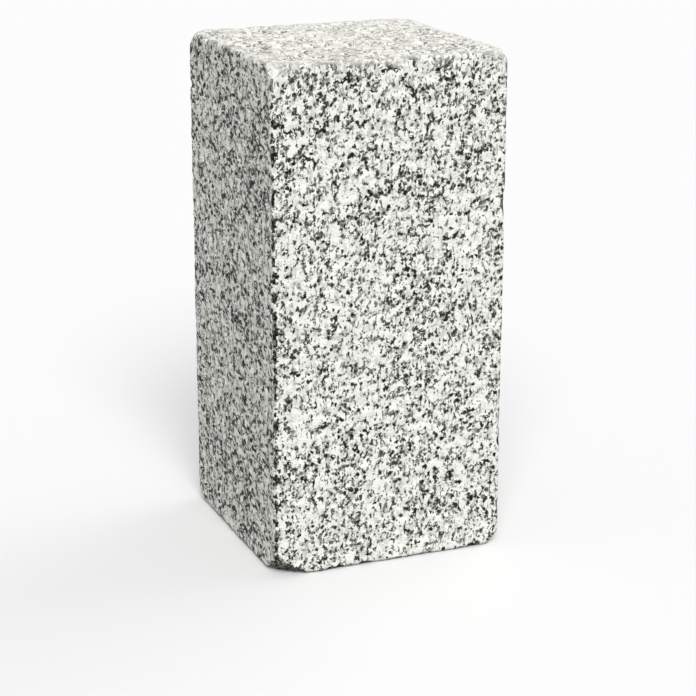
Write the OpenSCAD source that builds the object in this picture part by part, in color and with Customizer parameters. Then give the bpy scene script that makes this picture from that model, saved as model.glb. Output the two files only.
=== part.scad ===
// Granite palisade: a short upright post of sawn and bush-hammered granite,
// set side by side with others as a kerb, a bed edge or a low retaining wall.
// It is one solid stone. Its arrises are eased, its corners are worn round,
// and one corner of the foot has been knocked off.
//
// Origin: centre of the foot, on the ground. +Z runs up the stone,
// -Y is the front face, and -X is the face to the left of the front.

/* [Stone] */
// Width of the stone across its front face
stone_w = 120; // [80:1:250]
// Depth of the stone from front to back
stone_d = 120; // [80:1:250]
// Height of the stone from foot to head
stone_h = 250; // [120:1:600]

/* [Eased arrises] */
// Radius on the four upright arrises
arris_r = 4; // [2:0.5:10]
// Radius on the rim round the head
head_rim_r = 3.5; // [2:0.5:10]
// Radius on the rim round the foot
foot_rim_r = 2.5; // [2:0.5:10]

/* [Worn corners] */
// How far the wear at a corner runs along each of its edges
corner_run = 10; // [6:0.5:15]
// Radius of the crowned surface that wear has left at a corner
corner_crown_r = 30; // [25:1:60]

/* [Knocked foot corner] */
// How far the knock at the front left runs along the two edges of the foot
knock_run = 18; // [15:0.5:26]
// How far the knock rises up the arris
knock_rise = 13; // [10:0.5:20]
// Radius of the crowned surface that the knock has left
knock_crown_r = 60; // [50:1:90]

/* [Hidden] */
$fn = 96;
granite_grey = [0.78, 0.78, 0.75];
half_w = stone_w / 2;
half_d = stone_d / 2;
mid_h = stone_h / 2;
// How far a cutting block stands past the surfaces that it cuts
overshoot = 1;

// Centre of a ball of the given radius that meets the three edges of a corner
// at the given runs, measured from the corner. The three meeting points are
// equally far from the centre, so pow(run, 2) - 2 * run * inset has one value
// for all edges, and that value solves a * pow(shared, 2) - shared / 2 + c = 0.
function ball_centre(runs, ball_r) =
    let (
        a = [for (run = runs) 1 / (4 * pow(run, 2))] * [1, 1, 1],
        c = runs * runs / 4 - pow(ball_r, 2),
        shared = (1 / 2 - sqrt(1 / 4 - 4 * a * c)) / (2 * a)
    )
    [for (run = runs) (pow(run, 2) - shared) / (2 * run)];

// Outline of an upright face, centred on x, with its foot and head eased.
module face_outline(width) {
    half = width / 2;
    translate([-half, foot_rim_r])
        square([width, stone_h - foot_rim_r - head_rim_r]);
    translate([foot_rim_r - half, 0])
        square([width - 2 * foot_rim_r, mid_h]);
    translate([head_rim_r - half, mid_h])
        square([width - 2 * head_rim_r, mid_h]);
    for (side = [-1, 1]) {
        translate([side * (half - foot_rim_r), foot_rim_r])
            circle(r = foot_rim_r);
        translate([side * (half - head_rim_r), stone_h - head_rim_r])
            circle(r = head_rim_r);
    }
}

// Outline of the stone seen from above, with its four arrises eased.
module plan_outline() {
    square([stone_w - 2 * arris_r, stone_d], center = true);
    square([stone_w, stone_d - 2 * arris_r], center = true);
    for (x = [-1, 1], y = [-1, 1])
        translate([x * (half_w - arris_r), y * (half_d - arris_r)])
            circle(r = arris_r);
}

// The stone as dressed: what its plan, front and side outlines have in common.
module dressed_stone() {
    intersection() {
        linear_extrude(stone_h)
            plan_outline();
        translate([0, half_d, 0])
            rotate([90, 0, 0])
                linear_extrude(stone_d)
                    face_outline(stone_w);
        translate([-half_w, 0, 0])
            rotate([90, 0, 90])
                linear_extrude(stone_w)
                    face_outline(stone_d);
    }
}

// What is gone from a corner that lies at the origin, with the stone in
// x, y, z > 0: all that is near the corner and outside the ball. The runs are
// those along x, y and z.
module lost_corner(runs, ball_r) {
    difference() {
        translate([-overshoot, -overshoot, -overshoot])
            cube(max(runs) + 2 * overshoot);
        translate(ball_centre(runs, ball_r))
            sphere(r = ball_r);
    }
}

// Carries a corner from the origin to the corner of the stone on the sides
// x and y (-1 or 1), at the foot (z = -1) or at the head (z = 1).
module at_corner(x, y, z) {
    translate([x * half_w, y * half_d, z > 0 ? stone_h : 0])
        mirror([x > 0 ? 1 : 0, 0, 0])
            mirror([0, y > 0 ? 1 : 0, 0])
                mirror([0, 0, z > 0 ? 1 : 0])
                    children();
}

module palisade_stone() {
    color(granite_grey)
        difference() {
            dressed_stone();
            for (x = [-1, 1], y = [-1, 1], z = [-1, 1])
                at_corner(x, y, z)
                    lost_corner(corner_run * [1, 1, 1], corner_crown_r);
            at_corner(-1, -1, -1)
                lost_corner([knock_run, knock_run, knock_rise], knock_crown_r);
        }
}

palisade_stone();
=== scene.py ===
# %% [markdown]
# # A granite palisade
#
# A palisade is a short post of natural stone. A row of them makes a kerb or the edge of a bed.
# This one was sawn from light grey granite and then dressed with a bush hammer, a tool with a
# head of small steel points that crushes the sawn face into a matt, pitted skin. The arrises,
# which is a mason's word for the edges, were eased, and handling has chipped them since.
#
# The lesson builds the stone from the outside in: first its rounded box, then wear, then hammer
# marks, all as one closed mesh. After that it makes the granite itself as a material, and last
# the plain studio round it.

# %% Load the fixed frame
import math

import bpy
import numpy as np
from mathutils import Euler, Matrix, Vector


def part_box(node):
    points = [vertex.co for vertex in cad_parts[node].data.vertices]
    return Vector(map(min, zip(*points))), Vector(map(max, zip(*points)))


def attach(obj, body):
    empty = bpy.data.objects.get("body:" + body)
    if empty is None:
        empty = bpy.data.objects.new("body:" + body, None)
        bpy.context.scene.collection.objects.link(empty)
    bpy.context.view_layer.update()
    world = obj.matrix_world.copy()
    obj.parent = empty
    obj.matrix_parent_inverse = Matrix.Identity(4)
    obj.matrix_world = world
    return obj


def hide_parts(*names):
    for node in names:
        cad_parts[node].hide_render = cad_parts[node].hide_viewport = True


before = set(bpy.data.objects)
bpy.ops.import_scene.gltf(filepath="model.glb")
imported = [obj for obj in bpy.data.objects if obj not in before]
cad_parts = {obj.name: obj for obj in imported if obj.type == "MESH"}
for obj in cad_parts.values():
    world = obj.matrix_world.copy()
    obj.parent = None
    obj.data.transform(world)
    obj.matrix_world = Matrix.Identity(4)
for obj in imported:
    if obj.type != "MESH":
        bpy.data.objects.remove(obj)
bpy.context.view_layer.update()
STONE_NODE = "palisade_stone"
MM = 0.001
low, high = (np.array(corner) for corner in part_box(STONE_NODE))
size = high - low
middle = (low + high) / 2
print("stone, in millimetres:", np.round(size / MM, 1))

# %% [markdown]
# ## Random numbers that depend on place
#
# Stone is irregular, but the mesh has to come out the same each time. So its surface draws no
# random numbers one after the other. Each value is worked out from a place in space instead:
# the place falls in a cell of an invisible lattice, and the cell's whole numbers are stirred
# into a fraction from 0 to 1. The same place gives the same fraction on every run.
#
# Two kinds of irregularity come from that. Soft noise blends the fractions of the eight cell
# corners round a point, and gives gentle swells. Dents put one point at a random spot in each
# cell and ask how near the closest one is, which gives separate round pits. A whole number
# called salt goes into each, so that two kinds of swell in the same place differ.

# %% Fractions from places
STIR = (np.uint32(73856093), np.uint32(19349663), np.uint32(83492791))
SALT_STEP = 40503
SALT_START = 12345
FOLDS = ((16, 2146121005), (15, 2221713035), (16, 1))


def fractions(cells, salt):
    """One fraction from 0 to 1 for each row of three whole numbers: the three are multiplied by
    large odd numbers and added, and the bits of the sum are folded on themselves."""
    whole = cells.astype(np.int64).astype(np.uint32)
    mixed = sum(whole[..., axis] * STIR[axis] for axis in range(3))
    mixed = mixed + np.uint32(salt * SALT_STEP + SALT_START)
    for shift, factor in FOLDS:
        mixed = (mixed ^ (mixed >> np.uint32(shift))) * np.uint32(factor)
    return mixed / 2.0**32


def soft_noise(points, cell, salt):
    """Swells from -1 to 1 that are about one cell wide: the fractions of the eight corners of the
    cell that holds a point, blended by how near the point is to each."""
    where = points / cell
    base = np.floor(where)
    part = where - base
    part = part * part * (3 - 2 * part)
    total = 0
    for corner in np.ndindex(2, 2, 2):
        pull = np.prod(np.where(np.array(corner) == 1, part, 1 - part), axis=1)
        total = total + pull * fractions(base + corner, salt)
    return 2 * total - 1


trial = np.random.default_rng(1).uniform(-0.1, 0.1, (5000, 3))
print("soft noise spans", np.round(np.ptp(soft_noise(trial, 10 * MM, 1)), 2))

# %% Distance to the nearest dent
FAR_AWAY = 9.0


def nearest_dent(points, cell, salt):
    """How far the closest dent is, in cells, and that dent's own fraction. Each cell holds one
    dent at a random spot, so the 27 cells round a point are tried."""
    base = np.floor(points / cell)
    best = np.full(len(points), FAR_AWAY)
    own = np.zeros(len(points))
    for step in np.ndindex(3, 3, 3):
        near = base + np.array(step) - 1
        spot = near + np.stack([fractions(near, salt + k) for k in range(3)], axis=1)
        gap = np.linalg.norm(points / cell - spot, axis=1)
        closer = gap < best
        best = np.where(closer, gap, best)
        own = np.where(closer, fractions(near, salt + 3), own)
    return best, own


print("mean distance to a dent:", np.round(nearest_dent(trial, 10 * MM, 1)[0].mean(), 2), "cells")

# %% [markdown]
# ## The box that everything starts from
#
# The stone is one closed surface, so its mesh is one closed grid: a box whose six sides are
# ruled into small squares, with every point on an edge shared by the sides that meet there.
# A box could be made by subdividing a cube, but then all squares would be alike. Here the
# lines close up towards the edges, because that is where the chips are.

# %% A ruled box with closed edges
ACROSS = 95
UPWARDS = 198
CROWDING = 0.06
CROWD_POWER = 9


def rule_off(length, cells):
    """Places of the lines along a side, from 0 to its length. In the middle they are evenly
    spaced. Near the ends a high power of the place is taken off, so that they close up."""
    even = np.linspace(-1, 1, cells + 1)
    bent = (1 + CROWDING) * even - CROWDING * np.sign(even) * np.abs(even) ** CROWD_POWER
    return length * (bent + 1) / 2


def ruled_box(counts):
    """Whole-number places of the lattice points on a box's surface, and the squares between
    them. Each side is a plain grid, turned so that its squares face outwards, and points with
    the same place are made one."""
    places, squares, start = [], [], 0
    for axis in range(3):
        first, second = (axis + 1) % 3, (axis + 2) % 3
        for end in (0, counts[axis]):
            i, j = np.meshgrid(range(counts[first] + 1), range(counts[second] + 1), indexing="ij")
            side = np.empty((i.size, 3), int)
            side[:, axis], side[:, first], side[:, second] = end, i.ravel(), j.ravel()
            number = start + np.arange(i.size).reshape(i.shape)
            ring = [number[:-1, :-1], number[1:, :-1], number[1:, 1:], number[:-1, 1:]]
            if end == 0:
                ring.reverse()
            squares.append(np.stack(ring, axis=-1).reshape(-1, 4))
            places.append(side)
            start += i.size
    places, same = np.unique(np.concatenate(places), axis=0, return_inverse=True)
    return places, same.ravel()[np.concatenate(squares)]


counts = (ACROSS, ACROSS, UPWARDS)
places, squares = ruled_box(counts)
lines = [rule_off(size[axis], counts[axis]) for axis in range(3)]
box_points = np.stack([lines[axis][places[:, axis]] for axis in range(3)], axis=1) + low
print(len(places), "points,", len(squares), "squares")

# %% [markdown]
# ## Eased arrises
#
# A rounded edge can be made with a Bevel modifier, but a mason's edge isn't even: it is rubbed
# more in one place than in the next. So the radius is a function of place. Each point is
# first held inside a smaller box, shrunk by the radius, and then stands off from it by the
# radius, along the line from the held point to the old one. On a flat side this changes
# nothing, along an edge it gives a quarter round, and at a corner part of a ball.

# %% Round the edges by a radius that varies
ARRIS_RADIUS = 2.6 * MM
ARRIS_CHANGE = 1.0 * MM
ARRIS_SWELL = 17 * MM


def eased(points):
    """Points of the box with its edges rounded, and the outward direction at each."""
    radius = ARRIS_RADIUS + ARRIS_CHANGE * soft_noise(points, ARRIS_SWELL, 11)
    radius = radius[:, None]
    reach = size / 2 - radius
    held = np.clip(points - middle, -reach, reach)
    out = points - middle - held
    out /= np.linalg.norm(out, axis=1, keepdims=True)
    return middle + held + radius * out, out


stone, outward = eased(box_points)
radii = np.array((ARRIS_RADIUS - ARRIS_CHANGE, ARRIS_RADIUS + ARRIS_CHANGE))
print("eased radius in millimetres, least and most:", np.round(radii / MM, 1))

# %% [markdown]
# ## Worn corners and the knocked foot
#
# Corners wear faster than edges, because three sides offer them to every knock. What is left
# is a slightly crowned patch. It is made as part of a large ball that lies inside the stone:
# whatever stands outside the ball is drawn back to it. Two corners differ from the rest. The
# back left corner of the head is rounder, so its ball is smaller and reaches further along the
# edges. The front left corner of the foot has had a real blow, and its ball is larger, further
# in and rougher.

# %% The ball that wears a corner
CORNER_RUNS = (9 * MM, 9 * MM, 9 * MM)
CORNER_CROWN = 30 * MM
CORNER_ROUGH = 0.3 * MM
ROUND_CORNER = (-1, 1, 1)
ROUND_RUNS = (17 * MM, 17 * MM, 16 * MM)
ROUND_CROWN = 24 * MM
KNOCKED_CORNER = (-1, -1, -1)
KNOCK_RUNS = (18 * MM, 17 * MM, 13 * MM)
KNOCK_CROWN = 60 * MM
KNOCK_ROUGH = 0.8 * MM
BREAK_GRAIN = 2.4 * MM
WEAR_REACH = 1.7
ROUGH_INWARDS = 0.6


def ball_centre(runs, radius):
    """Distances from the corner, along its three edges, to the centre of a ball of that radius
    that meets each edge at its own run. Seen from the centre, each meeting point is one radius
    away. Subtracting those three equations leaves one number, the same for all edges: run
    squared minus twice run times distance. That number solves a quadratic."""
    run = np.asarray(runs)
    a = np.sum(1 / (4 * run**2))
    c = np.sum(run**2) / 4 - radius**2
    same = (0.5 - math.sqrt(0.25 - 4 * a * c)) / (2 * a)
    return (run**2 - same) / (2 * run)


def worn_corner(points, corner, runs, radius, rough, salt):
    """Points near one corner drawn back to its ball. Rough times soft noise is added to the
    radius, and most of it inwards. Returns the points and how far each one moved."""
    inward = -np.asarray(corner, float)
    tip = middle - inward * size / 2
    centre = tip + inward * ball_centre(runs, radius)
    near = np.all(np.abs(points - tip) < WEAR_REACH * max(runs), axis=1)
    arm = points[near] - centre
    length = np.linalg.norm(arm, axis=1)
    uneven = radius + rough * (soft_noise(points[near], BREAK_GRAIN, salt) - ROUGH_INWARDS)
    shrink = np.minimum(uneven / length, 1.0)
    result, moved = points.copy(), np.zeros(len(points))
    result[near] = centre + arm * shrink[:, None]
    moved[near] = length * (1 - shrink)
    return result, moved


print("ball's centre from a corner:", np.round(ball_centre(CORNER_RUNS, CORNER_CROWN) / MM, 1), "mm")

# %% Wear the corners back to crowned patches
# How much of the knocked foot counts as broken, which the material darkens: partly fresh stone,
# partly painted shade of its facet, which faces down.
KNOCK_BREAK_AND_SHADE = 0.17 * MM

for index, corner in enumerate(np.ndindex(2, 2, 2)):
    side = 2 * np.array(corner) - 1
    stone, _ = worn_corner(stone, side, CORNER_RUNS, CORNER_CROWN, CORNER_ROUGH, 20 + index)
stone, _ = worn_corner(stone, ROUND_CORNER, ROUND_RUNS, ROUND_CROWN, CORNER_ROUGH, 30)
stone, knocked = worn_corner(stone, KNOCKED_CORNER, KNOCK_RUNS, KNOCK_CROWN, KNOCK_ROUGH, 31)
broken = np.minimum(knocked, KNOCK_BREAK_AND_SHADE)
print("the knock took off at most", np.round(knocked.max() / MM, 1), "mm")

# %% [markdown]
# ## Chips along the arrises
#
# When an edge of granite is struck, a flake springs off and leaves a shallow scoop with a
# sharp rim. Blender could cut it with a Boolean, but hundreds of cuts take long and leave thin
# faces. Here a scoop is what a stretched ball bites out of the edge: points inside the ball
# are pushed out to its skin, which is made uneven. The same points stay in the same squares.
#
# The front left arris is the most worn. Its chips are listed one by one, each with its height
# as a share of the stone's and its length in millimetres, and a longer chip is also deeper.
# Three other arrises and the head's rim have one large chip each, and small chips are
# scattered along all twelve edges.

# %% The scoop of one chip
SCOOP_STRETCH = 2.2
SCOOP_UNEVEN = 0.22
EASED_BACK = 0.29


def scoop(points, spot, along, out, length, depth, salt):
    """Points inside a stretched ball pushed out to its skin. The ball bites to the given depth
    at spot, where out points away from the stone, and its bite is as long as length. Depth and
    length give the ball's radius: half the bite's unstretched length, squared, over twice the
    depth, plus half the depth. Returns the points and how far each one moved."""
    spot, out = np.asarray(spot, float), np.asarray(out, float)
    out = out / np.linalg.norm(out)
    radius = (length / (2 * SCOOP_STRETCH)) ** 2 / (2 * depth) + depth / 2
    near = np.linalg.norm(points - spot, axis=1) < length
    arm = points[near] - (spot + out * (radius - depth))
    round_arm = arm + arm[:, [along]] * np.eye(3)[along] * (1 / SCOOP_STRETCH - 1)
    reach = np.linalg.norm(round_arm, axis=1)
    skin = radius * (1 + SCOOP_UNEVEN * soft_noise(points[near], BREAK_GRAIN, salt))
    swell = np.maximum(skin / np.maximum(reach, 1e-9), 1.0)
    result, moved = points.copy(), np.zeros(len(points))
    result[near] = points[near] + arm * (swell - 1)[:, None]
    moved[near] = reach * (swell - 1)
    return result, moved


def edge_spot(along, sides, share):
    """The place on the edge that runs along an axis, on the two given sides of the stone, at a
    share of the stone's length from its lower end, and the direction out of the stone there.
    A rounded edge lies back from the sharp one by 0.29 of its radius on either side."""
    across = [axis for axis in range(3) if axis != along]
    out = np.zeros(3)
    out[across] = sides
    spot = middle + out * (size / 2 - EASED_BACK * ARRIS_RADIUS)
    spot[along] = low[along] + share * size[along]
    return spot, out


print("middle of the worn arris:", np.round(edge_spot(2, (-1, -1), 0.5)[0] / MM, 1), "mm")

# %% The large chips
NEAR_CHIPS = [
    (0.960, 5), (0.927, 3), (0.869, 4), (0.841, 6), (0.823, 5), (0.790, 4), (0.746, 5), (0.661, 4),
    (0.633, 5), (0.605, 6), (0.565, 7), (0.524, 6), (0.501, 8), (0.478, 6), (0.452, 6), (0.399, 6),
    (0.384, 4), (0.310, 6), (0.238, 6), (0.206, 5), (0.151, 6), (0.115, 4), (0.086, 6), (0.064, 5),
    (0.020, 8),
]
NEAR_SIDES = (-1, -1)
NEAR_OUT = (-1.2, -1, 0)
NEAR_DEPTH = 0.86
NEAR_DEPTH_GAIN = 0.06
# axis of the edge, sides of the stone, share of its length, length and depth in mm, way out
OTHER_CHIPS = [
    (1, (1, 1), 0.57, 16, 1.8, (0.8, 0, 1)),
    (2, (1, -1), 0.70, 14, 1.2, (1, -0.6, 0)),
    (2, (1, 1), 0.34, 20, 1.9, (1, 1.4, 0)),
    (2, (-1, 1), 0.62, 16, 1.7, (-1, 1.2, 0)),
]

large_chips = [
    (2, NEAR_SIDES, share, long, NEAR_DEPTH + NEAR_DEPTH_GAIN * long, NEAR_OUT)
    for share, long in NEAR_CHIPS
]
for index, (along, sides, share, length, depth, out) in enumerate(large_chips + OTHER_CHIPS):
    spot, _ = edge_spot(along, sides, share)
    stone, moved = scoop(stone, spot, along, out, length * MM, depth * MM, 40 + index)
    broken = np.maximum(broken, moved)
print("deepest large chip:", np.round(broken.max() / MM, 1), "mm")

# %% Small chips along all edges
SMALL_CHIPS = 16
SMALL_LENGTH = (3 * MM, 8 * MM)
SMALL_DEPTH = (0.25 * MM, 0.8 * MM)
OUT_SPREAD = 0.35
CHIP_DRAWS = 12
SHOWN_BREAK = 0.05 * MM

draw = np.random.default_rng(CHIP_DRAWS)
for along in range(3):
    for sides in ((-1, -1), (-1, 1), (1, -1), (1, 1)):
        number = round(SMALL_CHIPS * size[along] / size.max())
        for share in (np.arange(number) + draw.uniform(0, 1, number)) / number:
            spot, out = edge_spot(along, sides, share)
            out = out + draw.normal(0, OUT_SPREAD, 3)
            amount = draw.uniform() ** 2
            length = SMALL_LENGTH[0] + amount * (SMALL_LENGTH[1] - SMALL_LENGTH[0])
            depth = SMALL_DEPTH[0] + amount * (SMALL_DEPTH[1] - SMALL_DEPTH[0])
            stone, moved = scoop(stone, spot, along, out, length, depth, draw.integers(50, 900))
            broken = np.maximum(broken, moved)
print("points moved by breaks:", int((broken > SHOWN_BREAK).sum()))

# %% [markdown]
# ## Loosening the folds
#
# Where one scoop has cut into another, a few points can end up past their neighbours, and the
# surface folds over itself. A cure is to draw each point towards the mean of the points next
# to it. That would blur the whole stone, so it is done only where the stone is broken, in two
# rounds. Blender's Smooth modifier could do the same with a vertex group, but in numpy the
# relaxed points are at hand for the steps that follow.

# %% Relax the broken places
RELAX_ROUNDS = 2
RELAX_SHARE = 0.5
RELAX_FULL = 0.1 * MM


def relaxed(points, quads, share, rounds):
    """Points drawn towards the mean of their neighbours along the lattice, each by its share.
    The neighbours' places are summed for each point with a weighted count."""
    ends = np.concatenate([quads[:, [k, (k + 1) % 4]] for k in range(4)])
    ends = np.concatenate([ends, ends[:, ::-1]])
    number = np.bincount(ends[:, 0], minlength=len(points))[:, None]
    for _ in range(rounds):
        sums = [np.bincount(ends[:, 0], points[ends[:, 1], axis]) for axis in range(3)]
        points = points + share[:, None] * (np.stack(sums, axis=1) / number - points)
    return points


sharp = stone
relax_share = RELAX_SHARE * np.clip(broken / RELAX_FULL, 0, 1)
stone = relaxed(sharp, squares, relax_share, RELAX_ROUNDS)
shifted = np.linalg.norm(stone - sharp, axis=1)
print("relaxing moved points by at most", np.round(shifted.max() / MM, 2), "mm")

# %% [markdown]
# ## Hammer marks
#
# The bush hammer leaves the face covered in small dents a few millimetres apart, over the very
# slight waviness of the sawn face. Both are real relief, so they are geometry and not only a
# pattern in the material. All of it goes inwards from the nominal face, because the crests
# are what a ruler would touch.
#
# The blows aren't the same everywhere. A mason strikes more softly near an arris, so as not to
# break it, and a band along each edge is calmer. The head, which is the face people see, has
# been worked more coarsely, in rows that run from side to side, so its dents are deeper and
# drawn out along the front. In a fresh break the marks are weaker, because it came after them.

# %% How deep the hammer marks are
DENT_SPACING = 4.6 * MM
DENT_DEPTH = 1.0 * MM
BOWL_WIDTH = 0.62
WEAKEST_BLOW = 0.35
FINE_SPACING = 2.8 * MM
FINE_DEPTH = 0.5 * MM
WAVE_LENGTH = 46 * MM
WAVE_DEPTH = 0.25 * MM
CALM_BAND = 9 * MM
CALM = 0.65


def hammer_depth(points, drawn):
    """How deep the surface lies under its nominal face: a slow wave, plus a bowl at each dent,
    plus finer noise. A bowl is one minus the square of the distance to the dent's middle, and
    its depth depends on the blow. Drawn stretches the dents and the fine noise along x, y, z."""
    gap, own = nearest_dent(points / drawn, DENT_SPACING, 3)
    bowl = np.clip(1 - (gap / BOWL_WIDTH) ** 2, 0, 1) * (WEAKEST_BLOW + (1 - WEAKEST_BLOW) * own)
    wave = 0.5 + 0.5 * soft_noise(points, WAVE_LENGTH, 5)
    fine = 0.5 + 0.5 * soft_noise(points / drawn, FINE_SPACING, 6)
    from_edge = np.sort(size / 2 - np.abs(points - middle), axis=1)[:, 1]
    calm = 1 - CALM * np.clip(1 - from_edge / CALM_BAND, 0, 1)
    return calm * (DENT_DEPTH * bowl + WAVE_DEPTH * wave + FINE_DEPTH * fine)


plain_depth = hammer_depth(stone, (1, 1, 1))
print("hammer marks, middle depth:", np.round(np.median(plain_depth) / MM, 2), "mm")

# %% Press them into the faces
HEAD_COARSER = 0.7
HEAD_DRAWN = (1.7, 1.0, 1.0)
BREAK_FULL = 0.32 * MM
BREAK_SMOOTHER = 0.4

on_head = np.clip(outward[:, 2], 0, 1)
relief = plain_depth * (1 - on_head)
relief = relief + hammer_depth(stone, HEAD_DRAWN) * on_head * (1 + HEAD_COARSER)
broken = np.clip(broken / BREAK_FULL, 0, 1)
relief = relief * (1 - BREAK_SMOOTHER * broken)
stone = stone - outward * relief[:, None]
print("relief in millimetres:", np.round(np.percentile(relief, (5, 50, 95)) / MM, 2))

# %% [markdown]
# ## The mesh
#
# The arrays go into one mesh in a single call each. All faces are shaded smooth, because the
# squares are smaller than any shape they show.
#
# Four numbers are kept at every point for the material to read, because only the shape knows
# them. Broken says how fresh a break is there; the material darkens breaks, partly as the darker
# inside of fresh stone and partly as painted shade of the chips' scoops and the knocked foot.
# Shaded sides is 1 on the two sides that face the next stones of a row, where the material lays
# more dark grain as painted shade of the hammer marks that the light skims there. Crushed says
# how much of the skin the hammer has turned to white, which is most on the crests of the head.
# Powder is the pale stone dust that easing the edges has left in the head's corners and in a
# ragged band under its rim.

# %% Put the arrays into a mesh
def mesh_from(name, points, quads):
    """A mesh object at the origin, made from an array of points and an array of squares."""
    mesh = bpy.data.meshes.new(name)
    mesh.vertices.add(len(points))
    mesh.vertices.foreach_set("co", points.astype(np.float32).ravel())
    mesh.loops.add(quads.size)
    mesh.loops.foreach_set("vertex_index", quads.astype(np.int32).ravel())
    mesh.polygons.add(len(quads))
    mesh.polygons.foreach_set("loop_start", np.arange(0, quads.size, 4, dtype=np.int32))
    mesh.polygons.foreach_set("use_smooth", np.ones(len(quads), bool))
    mesh.update(calc_edges=True)
    mesh.validate()
    thing = bpy.data.objects.new(name, mesh)
    bpy.context.scene.collection.objects.link(thing)
    return thing


granite_block = mesh_from("granite_block", stone, squares)
print("triangles:", 2 * len(granite_block.data.polygons))

# %% Keep what the material has to know
TURN_GAIN = 2
SIDES_FROM = 1
HEAD_FROM = 0.9
HEAD_CRUSHED = 0.78
UNCRUSHED_DEPTH = 1.8 * MM
CRUSHED_FALL = 1.6
POWDER_MOST = 0.85
POWDER_BAND = 3.5 * MM
BAND_START = 1.2
BAND_RAGGED = 0.9
BAND_GRAIN = 3 * MM
OFF_HEAD = 2.2
JOINT_CLEANER = 0.6
POWDER_CORNER = 9 * MM
CORNER_START = 1.3
POWDER_PATCH = 4 * MM
PATCH_MEAN = 0.75
PATCH_CHANGE = 0.25


def shaded_sides_share():
    """1 where the surface looks to the left or right, falling to 0 as it turns away. The material
    lays more dark grain there, as painted shade of the hammer marks that the light skims.
    """
    return np.clip(TURN_GAIN * np.abs(outward[:, 0]) - SIDES_FROM, 0, 1)


def crushed_share():
    """How crushed the skin is: the head's share where the surface looks up, less a power of the
    depth, so that the bottoms of the deepest marks show plain stone."""
    head_share = HEAD_CRUSHED * np.clip(TURN_GAIN * outward[:, 2] - HEAD_FROM, 0, 1)
    return head_share * (1 - np.clip(relief / UNCRUSHED_DEPTH, 0, 1) ** CRUSHED_FALL)


def powder_share(shaded_sides):
    """How much stone dust there is: the larger of two shares, with thinner patches. One falls
    with the distance from a corner of the head. The other falls with the depth under the rim,
    is made ragged by soft noise, stays off the head, and is weaker on the joint sides."""
    under_head = high[2] - stone[:, 2]
    ragged = BAND_RAGGED * soft_noise(stone, BAND_GRAIN, 9)
    band = np.clip(BAND_START - under_head / POWDER_BAND + ragged, 0, 1)
    off_head = np.clip(OFF_HEAD - OFF_HEAD * outward[:, 2], 0, 1)
    band = band * off_head * (1 - JOINT_CLEANER * shaded_sides)
    from_corner = np.linalg.norm(np.abs(stone - middle) - size / 2, axis=1)
    on_top = under_head < size[2] / 2
    corner = np.clip(CORNER_START - from_corner / POWDER_CORNER, 0, 1) * on_top
    patches = PATCH_MEAN + PATCH_CHANGE * soft_noise(stone, POWDER_PATCH, 8)
    return POWDER_MOST * np.clip(np.maximum(corner, band) * patches, 0, 1)


kept_values = {
    "broken": broken,
    "shaded_sides": shaded_sides_share(),
    "crushed": crushed_share(),
    "powder": powder_share(shaded_sides_share()),
}
for name, values in kept_values.items():
    layer = granite_block.data.attributes.new(name, "FLOAT", "POINT")
    layer.data.foreach_set("value", values.astype(np.float32))
    print(name, "has a mean of", np.round(values.mean(), 3))

# %% [markdown]
# ## Granite as a material
#
# Granite is a tight pack of three kinds of crystal. Feldspar is white to ivory and makes up
# more than half. Quartz is grey and glassy. Mica comes as small black flakes that lie in loose
# clusters. A picture of granite could be wrapped round the block, but then the grain would
# stretch and show seams at the edges. Instead each crystal is a cell of a Voronoi texture in
# three dimensions, so the pattern runs through the stone and every cut face shows it true.
#
# The same recipe makes every kind of crystal, with other numbers, so it is a node group.

# %% Node helpers
def add(tree, kind, values=None, **settings):
    """A node with its settings, and each input either linked to a socket or set to a value."""
    node = tree.nodes.new(kind)
    for key, value in settings.items():
        setattr(node, key, value)
    for key, value in (values or {}).items():
        socket = node.inputs[key]
        if isinstance(value, bpy.types.NodeSocket):
            tree.links.new(value, socket)
        else:
            socket.default_value = value
    return node


def math_node(tree, operation, *values, clamp=False):
    """The output of a Math node that works on up to three values or sockets."""
    inputs = dict(enumerate(values))
    return add(tree, "ShaderNodeMath", inputs, operation=operation, use_clamp=clamp).outputs[0]


def blend_colours(tree, factor, under, over, blend="MIX"):
    """The colour under with the colour over laid on it, by factor. A Mix node has a set of
    sockets for each kind of data, and those of its colours are inputs 6 and 7 and output 2."""
    inputs = {0: factor, 6: under, 7: over}
    node = add(tree, "ShaderNodeMix", inputs, data_type="RGBA", blend_type=blend)
    return node.outputs[2]


def new_material(name):
    """A material with an empty node tree, and that tree."""
    material = bpy.data.materials.new(name)
    material.use_nodes = True
    material.node_tree.nodes.clear()
    return material, material.node_tree


print("node helpers ready")

# %% Node group: crystals of one kind
PICK_RIM = 0.03


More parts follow.
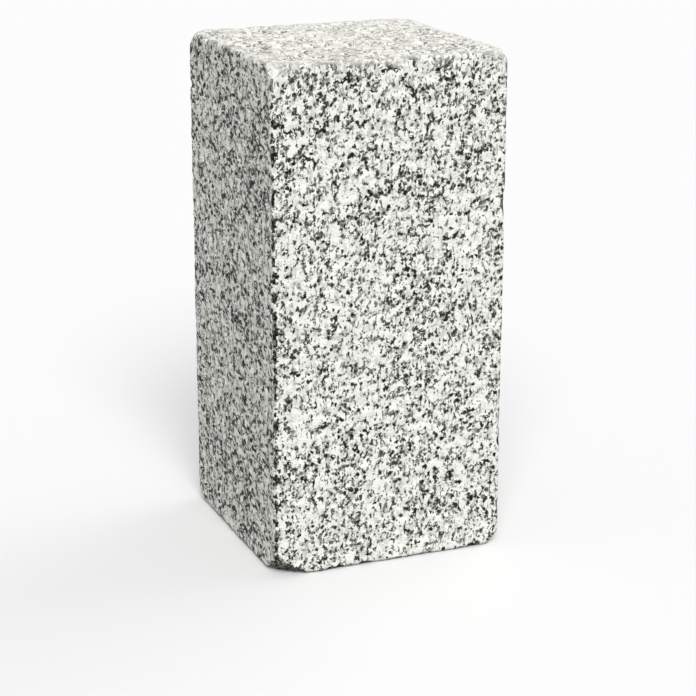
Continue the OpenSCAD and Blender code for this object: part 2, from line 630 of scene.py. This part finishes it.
def crystals_group():
    """Cells of a Voronoi texture, of which a share is picked. Mask is 1 at the heart of a picked
    crystal and falls to 0 towards its edge, over the distance Fade and at the distance Reach
    from the heart, both in crystal sizes. Tone is each crystal's own fraction from 0 to 1."""
    group = bpy.data.node_groups.new("crystals", "ShaderNodeTree")
    inputs = (
        ("Vector", "NodeSocketVector", (0, 0, 0)),
        ("Size", "NodeSocketFloat", 2.0),
        ("Share", "NodeSocketFloat", 0.3),
        ("Reach", "NodeSocketFloat", 0.7),
        ("Fade", "NodeSocketFloat", 0.3),
        ("Shift", "NodeSocketVector", (0, 0, 0)),
    )
    for label, kind, value in inputs:
        socket = group.interface.new_socket(label, in_out="INPUT", socket_type=kind)
        socket.default_value = value
    for label in ("Mask", "Tone"):
        group.interface.new_socket(label, in_out="OUTPUT", socket_type="NodeSocketFloat")
    given = group.nodes.new("NodeGroupInput").outputs
    moved = add(group, "ShaderNodeVectorMath", {0: given["Vector"], 1: given["Shift"]})
    cells = math_node(group, "DIVIDE", 1.0, given["Size"])
    voronoi = add(group, "ShaderNodeTexVoronoi", {"Vector": moved.outputs[0], "Scale": cells})
    parts = add(group, "ShaderNodeSeparateColor", {0: voronoi.outputs["Color"]})
    over = math_node(group, "SUBTRACT", given["Share"], parts.outputs[0])
    picked = math_node(group, "DIVIDE", over, PICK_RIM, clamp=True)
    inside = math_node(group, "SUBTRACT", given["Reach"], voronoi.outputs["Distance"])
    flank = math_node(group, "DIVIDE", inside, given["Fade"], clamp=True)
    mask = math_node(group, "MULTIPLY", picked, flank)
    add(group, "NodeGroupOutput", {"Mask": mask, "Tone": parts.outputs[1]})
    return group


crystals = crystals_group()
print("crystals group:", len(crystals.nodes), "nodes")

# %% [markdown]
# ## Putting the minerals together
#
# The minerals are laid over each other from the most common to the rarest: feldspar first,
# with duller crystals among the white ones, quartz over it, then mica. Mica comes in three
# shapes: plump crystals, small flakes, and thin plates that lie in three directions. For the
# plates the coordinates are turned and then squeezed along one axis, which flattens the cells.
# The edges of all crystals fade softly, because the hammer has crushed and smeared them.
#
# Feldspar grew first in the melt and has the largest crystals, so the dark minerals had to fit
# in the seams between them. A second output of the Voronoi texture, the distance to the
# nearest cell edge, finds those seams. Dark minerals also lie in clusters, and the clusters in
# broad paler and darker fields, so two soft noises raise and lower their share.
#
# Before that the coordinates are shaken a little by a fine noise, so that the straight sides
# of the cells become ragged like real crystal edges. And they are drawn out: in this stone
# the grain is longer from front to back than across, and the clusters stand upright. Dividing
# a coordinate by a number above 1 makes everything longer along it.
#
# The hammer has crushed the skin, which turns it whiter, most of all on the head. Dust lies on
# the worn rim. Where an edge is broken the colour is darker in patches with a ragged edge: partly
# the darker inside of fresh stone, partly painted shade of the chips' scoops and the knocked
# foot. On the two joint sides more dark grain is laid, as painted shade of the hammer marks that
# the light skims there. All these differences come from the numbers kept in the mesh.

# %% Colours and grain sizes, in millimetres
FELDSPAR = (0.93, 0.935, 0.875, 1)
FELDSPAR_DULL = (0.66, 0.665, 0.615, 1)
QUARTZ = (0.12, 0.122, 0.108, 1)
QUARTZ_PALE = (0.50, 0.505, 0.465, 1)
MICA = (0.006, 0.006, 0.005, 1)
# Where an edge is broken the colour is multiplied by this: partly the darker inside of fresh stone,
# partly painted shade of the chips' scoops and the knocked foot.
BREAK_DARK_AND_PAINTED_SHADE = (0.29, 0.29, 0.276, 1)
CRUSHED = (0.57, 0.56, 0.518, 1)
POWDER = (0.62, 0.62, 0.575, 1)
GRAIN_DRAWN = (0.92, 1.42, 0.98)
CLUMP_DRAWN = (0.68, 1.15, 1.35)
SHAKE_GRAIN = 0.9
SHAKE_FAR = (1.5, 1.5, 1.5)
SEAM_CRYSTAL = 4.0
SEAM_WIDTH = 0.22
CLUSTER = 4.4
FIELD = 34.0
FIELD_PLACE = (-120.0, 90.0, -50.0)
FIELD_PULL = 0.40
PATCH = 1.3
PATCH_SWING = 2.75
PATCH_START = -1.95
PATCH_STEEP = 2.5
PLATE_TURNS = ((35, 20, 0), (-60, 10, 40), (80, 50, 0))
PLATE_THIN = 2.8
BUMP_GRAIN = 1.4
BUMP_DEPTH = 1.0 * MM
CRUSHED_SMOOTHER = 0.9
STONE_ROUGHNESS = 0.85
MICA_GLOSS = 0.3
STONE_SPECULAR = 0.1

# size, reach and fade of the crystals, and the shift of their cells
DULL_GRAIN = (2.9, 0.85, 0.5, (3.1, 8.2, 5.7))
QUARTZ_GRAIN = (2.2, 0.78, 0.4, (31.0, 7.0, 3.0))
MICA_GRAIN = (1.85, 0.78, 0.18, (11.0, 53.0, 19.0))
FLAKE_GRAIN = (1.15, 0.72, 0.25, (71.0, 13.0, 37.0))
PLATE_GRAINS = tuple((2.4, 0.75, 0.25, (7.0, 31.0, 5.0 * number)) for number in range(3))
# share of the cells that are picked, and what clusters, joint sides (painted shade), seams and
# breaks (partly painted shade) add to it
DULL_SHARE = 0.5
QUARTZ_SHARE = (0.175, 1.0, 0.115, 0.14, 0.2)
MICA_SHARE = (0.066, 0.85, 0.04, 0.20, 0.3)
FLAKE_SHARE = (0.045, 0.5, 0.02, 0.14, 0.1)
PLATE_SHARE = (0.022, 0.4, 0.02, 0.15, 0.1)
# the least that crushing leaves of the palest crystal of a kind
DULL_LEAST = 0.0
MICA_LEAST = 0.9
FLAKE_LEAST = 0.8
PLATE_LEAST = 0.6
print("drawn out along x, y, z: grain", GRAIN_DRAWN, "clusters", CLUMP_DRAWN)

# %% Where each point lies in the grain
def noise(tree, vector, cell, detail=2.0, roughness=0.5):
    """The outputs of a Noise Texture whose swells are about one cell wide."""
    values = {"Vector": vector, "Scale": 1 / cell, "Detail": detail, "Roughness": roughness}
    return add(tree, "ShaderNodeTexNoise", values).outputs


def vector_math(tree, operation, *values):
    """The output of a Vector Math node that works on up to three values or sockets."""
    inputs = dict(enumerate(values))
    return add(tree, "ShaderNodeVectorMath", inputs, operation=operation).outputs[0]


def kept(tree, name):
    """A number that the mesh keeps at every point, by its name."""
    return add(tree, "ShaderNodeAttribute", attribute_name=name).outputs["Fac"]


def grain_places(tree):
    """Object coordinates in millimetres, drawn out as the grain is and as the clusters are, and
    both again after the shake, which adds up to half of its distance times noise either way."""
    coordinates = add(tree, "ShaderNodeTexCoord").outputs["Object"]
    per_grain = tuple(1 / MM / drawn for drawn in GRAIN_DRAWN)
    per_clump = tuple(1 / MM / drawn for drawn in CLUMP_DRAWN)
    grain = vector_math(tree, "MULTIPLY", coordinates, per_grain)
    clump = vector_math(tree, "MULTIPLY", coordinates, per_clump)
    swell = noise(tree, grain, SHAKE_GRAIN, 1.0)["Color"]
    shake = vector_math(tree, "SUBTRACT", swell, (0.5, 0.5, 0.5))
    shaken_grain = vector_math(tree, "MULTIPLY_ADD", shake, SHAKE_FAR, grain)
    shaken_clump = vector_math(tree, "MULTIPLY_ADD", shake, SHAKE_FAR, clump)
    return grain, clump, shaken_grain, shaken_clump


def gatherings(tree, clump, shaken_clump):
    """How gathered the dark minerals are, as cluster noise plus a share of the field noise, both
    from minus a half to a half. And the seams: 1 on a cell's edge, 0 from SEAM_WIDTH inwards."""
    cluster = math_node(tree, "SUBTRACT", noise(tree, clump, CLUSTER, 2.0, 0.55)[0], 0.5)
    field_place = vector_math(tree, "ADD", clump, FIELD_PLACE)
    field = math_node(tree, "SUBTRACT", noise(tree, field_place, FIELD)[0], 0.5)
    gathered = math_node(tree, "MULTIPLY_ADD", field, FIELD_PULL, cluster)
    cells = {"Vector": shaken_clump, "Scale": 1 / SEAM_CRYSTAL}
    edges = add(tree, "ShaderNodeTexVoronoi", cells, feature="DISTANCE_TO_EDGE")
    distance = edges.outputs["Distance"]
    seam = math_node(tree, "MULTIPLY_ADD", distance, -1 / SEAM_WIDTH, 1.0, clamp=True)
    return gathered, seam


print("grain places and gatherings defined")

# %% Crystals in the stone
def crystals_of(tree, vector, grain, share):
    """The mask and the tone of the crystals of one kind."""
    values = dict(zip(("Size", "Reach", "Fade", "Shift"), grain))
    values.update({"Vector": vector, "Share": share})
    node = add(tree, "ShaderNodeGroup", values, node_tree=crystals)
    return node.outputs["Mask"], node.outputs["Tone"]


def share_of(tree, gains, drivers):
    """A mineral's share: its first number, plus each further one times its driver."""
    share = gains[0]
    for gain, driver in zip(gains[1:], drivers):
        share = math_node(tree, "MULTIPLY_ADD", driver, gain, share)
    return share


def veiled(tree, mask, tone, least):
    """A mask after crushing, which has veiled some crystals more than others: least is left of
    the one with the lowest tone, and all of the one with the highest."""
    left = math_node(tree, "MULTIPLY_ADD", tone, 1 - least, least)
    return math_node(tree, "MULTIPLY", mask, left)


def plate_place(tree, vector, degrees):
    """Coordinates turned and then squeezed along one axis, so that cells come out as plates."""
    angles = tuple(math.radians(angle) for angle in degrees)
    inputs = {"Vector": vector, "Rotation": angles}
    turn = add(tree, "ShaderNodeVectorRotate", inputs, rotation_type="EULER_XYZ")
    return vector_math(tree, "MULTIPLY", turn.outputs[0], (1, 1, PLATE_THIN))


print("a plate is", PLATE_THIN, "times as wide as it is thick")

# %% The minerals, one over the other
def minerals(tree, shaken_grain, shaken_clump, drivers):
    """The colour of the sound stone, and a mask of its black mica. Each mineral is laid over the
    last by its mask, and the mica's mask is the largest of its three shapes' masks."""
    dull = crystals_of(tree, shaken_clump, DULL_GRAIN, DULL_SHARE)
    colour = blend_colours(tree, veiled(tree, *dull, DULL_LEAST), FELDSPAR, FELDSPAR_DULL)
    share = share_of(tree, QUARTZ_SHARE, drivers)
    quartz, tone = crystals_of(tree, shaken_grain, QUARTZ_GRAIN, share)
    colour = blend_colours(tree, quartz, colour, blend_colours(tree, tone, QUARTZ, QUARTZ_PALE))
    micas = [
        (shaken_grain, MICA_GRAIN, MICA_SHARE, MICA_LEAST),
        (shaken_grain, FLAKE_GRAIN, FLAKE_SHARE, FLAKE_LEAST),
    ]
    for degrees, grain in zip(PLATE_TURNS, PLATE_GRAINS):
        micas.append((plate_place(tree, shaken_grain, degrees), grain, PLATE_SHARE, PLATE_LEAST))
    dark = 0.0
    for place, grain, gains, least in micas:
        mica = crystals_of(tree, place, grain, share_of(tree, gains, drivers))
        mica = veiled(tree, *mica, least)
        colour = blend_colours(tree, mica, colour, MICA)
        dark = math_node(tree, "MAXIMUM", mica, dark)
    return colour, dark


def granite_material():
    """The stone: its minerals, darker where broken, partly as fresh stone and partly as painted
    shade, with more dark grain on the joint sides as painted shade, and paler under crushed stone
    and dust, with a fine bump that crushing has smoothed. Mica is a little glossier than the rest."""
    material, tree = new_material("hammered_granite")
    grain, clump, shaken_grain, shaken_clump = grain_places(tree)
    gathered, seam = gatherings(tree, clump, shaken_clump)
    patches = noise(tree, grain, PATCH)[0]
    patches = math_node(tree, "MULTIPLY_ADD", patches, PATCH_SWING, PATCH_START)
    fresh_and_shaded = kept(tree, "broken")
    fresh_and_shaded = math_node(tree, "MULTIPLY_ADD", fresh_and_shaded, PATCH_STEEP, patches, clamp=True)
    # The joint sides and the breaks raise the share of dark grain: on the sides as painted shade, at
    # breaks partly as painted shade and partly as fresh stone.
    drivers = (gathered, kept(tree, "shaded_sides"), seam, fresh_and_shaded)
    colour, dark = minerals(tree, shaken_grain, shaken_clump, drivers)
    # Painted shade, with the darker inside of fresh stone, where the edges are broken.
    break_and_painted_shade = blend_colours(tree, 1.0, colour, BREAK_DARK_AND_PAINTED_SHADE, "MULTIPLY")
    colour = blend_colours(tree, fresh_and_shaded, colour, break_and_painted_shade)
    crushed = kept(tree, "crushed")
    colour = blend_colours(tree, crushed, colour, CRUSHED)
    colour = blend_colours(tree, kept(tree, "powder"), colour, POWDER)

    rough = noise(tree, grain, BUMP_GRAIN, 4.0, 0.6)[0]
    uncrushed = math_node(tree, "MULTIPLY_ADD", crushed, -CRUSHED_SMOOTHER, 1.0, clamp=True)
    rough = math_node(tree, "MULTIPLY", rough, uncrushed)
    bump = add(tree, "ShaderNodeBump", {"Height": rough, "Strength": 1.0, "Distance": BUMP_DEPTH})
    roughness = math_node(tree, "MULTIPLY_ADD", dark, -MICA_GLOSS, STONE_ROUGHNESS)
    inputs = {"Base Color": colour, "Roughness": roughness, "Normal": bump.outputs[0]}
    shader = add(tree, "ShaderNodeBsdfPrincipled", inputs)
    shader.inputs["Specular IOR Level"].default_value = STONE_SPECULAR
    add(tree, "ShaderNodeOutputMaterial", {"Surface": shader.outputs[0]})
    return material


granite_block.data.materials.append(granite_material())
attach(granite_block, "root")
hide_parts(STONE_NODE)
print("granite made of", len(granite_block.data.materials[0].node_tree.nodes), "nodes")

# %% [markdown]
# ## The studio
#
# The stone stands on a white floor that runs into a white background. Both are white to the
# camera through the Light Path node, while the light they throw on the stone stays modest.
# The floor is still lit, so that the stone keeps its shadow.

# %% Floor and world
FLOOR_SIZE = 30.0
FLOOR_SEEN = 0.76
FLOOR_LIGHT = 0.28
SKY_STRENGTH = 0.51


def seen_by_camera(tree):
    """1 for what the camera sees straight, in a gloss or through glass, and 0 for other light."""
    path = add(tree, "ShaderNodeLightPath").outputs
    seen = math_node(tree, "MAXIMUM", path["Is Camera Ray"], path["Is Glossy Ray"])
    return math_node(tree, "MAXIMUM", seen, path["Is Transmission Ray"])


def grey(value):
    """A neutral colour."""
    return (value, value, value, 1)


def floor_material():
    """A matt floor that is white to the camera and darker to the light that it throws back."""
    material, tree = new_material("studio_floor")
    colour = blend_colours(tree, seen_by_camera(tree), grey(FLOOR_LIGHT), grey(FLOOR_SEEN))
    shader = add(tree, "ShaderNodeBsdfDiffuse", {"Color": colour})
    add(tree, "ShaderNodeOutputMaterial", {"Surface": shader.outputs[0]})
    return material


half = FLOOR_SIZE / 2
floor_corners = np.array([(-half, -half, 0), (half, -half, 0), (half, half, 0), (-half, half, 0)])
studio_floor = mesh_from("studio_floor", floor_corners + [0, 0, low[2]], np.array([[0, 1, 2, 3]]))
studio_floor.data.materials.append(floor_material())

world = bpy.data.worlds.new("studio_world")
bpy.context.scene.world = world
world.use_nodes = True
sky = world.node_tree
sky.nodes.clear()
strength = math_node(sky, "MULTIPLY_ADD", seen_by_camera(sky), 1 - SKY_STRENGTH, SKY_STRENGTH)
background = add(sky, "ShaderNodeBackground", {"Color": grey(1.0), "Strength": strength})
add(sky, "ShaderNodeOutputWorld", {"Surface": background.outputs[0]})
print("floor and world ready")

# %% [markdown]
# ## Key and fill light
#
# The key light comes from the front and from above, and a little from the left. So the head is
# the lightest side, the front comes next and the left side lies in half shade, where the light
# skims it and brings out the hammer marks. A weak fill light comes from the right and a little
# from behind, for the sides that the key leaves dark. Area lamps would do as well, but a Sun
# lights every part of the stone alike, and its angle alone makes its shadows soft.

# %% Two soft suns
KEY_FROM = Vector((-0.20, -0.69, 0.70)).normalized()
KEY_STRENGTH = 0.92
KEY_SOFTNESS = math.radians(32)
FILL_FROM = Vector((0.92, 0.25, 0.30)).normalized()
FILL_STRENGTH = 0.42
FILL_SOFTNESS = math.radians(60)


def soft_sun(name, direction, strength, softness):
    """A sun that gives a white surface facing it the given brightness, which takes pi times
    that strength. It comes from a round patch of sky as wide as softness."""
    light = bpy.data.lights.new(name, "SUN")
    light.energy = strength * math.pi
    light.angle = softness
    lamp = bpy.data.objects.new(name, light)
    lamp.location = Vector(middle) + direction
    lamp.rotation_euler = direction.to_track_quat("Z", "Y").to_euler()
    bpy.context.scene.collection.objects.link(lamp)
    return lamp


soft_sun("key_sun", KEY_FROM, KEY_STRENGTH, KEY_SOFTNESS)
soft_sun("fill_sun", FILL_FROM, FILL_STRENGTH, FILL_SOFTNESS)
bpy.context.scene.view_settings.view_transform = "Standard"
print("lights:", len(bpy.data.lights))

# %% [markdown]
# ## The camera
#
# The camera stands a metre away, to the left of the front, and looks down on the stone, so
# that head, front and left side show together. Its turn to the right and its tilt downwards
# are given as angles in radians. A long lens keeps the upright arrises nearly parallel.

# %% Camera
CAMERA_PLACE = Vector((-0.3669, -0.9012, 0.3942))
CAMERA_TURN = 0.3888
CAMERA_TILT = 0.3001
LENS = 103.8
SENSOR_WIDTH = 36
NEAREST_SEEN = 0.05

eye = bpy.data.cameras.new("camera")
eye.lens = LENS
eye.sensor_width = SENSOR_WIDTH
eye.clip_start = NEAREST_SEEN
camera = bpy.data.objects.new("camera", eye)
camera.location = CAMERA_PLACE
camera.rotation_euler = Euler((math.pi / 2 - CAMERA_TILT, 0, -CAMERA_TURN))
bpy.context.scene.collection.objects.link(camera)
bpy.context.scene.camera = camera
print("camera looks down by", round(math.degrees(CAMERA_TILT), 1), "degrees")
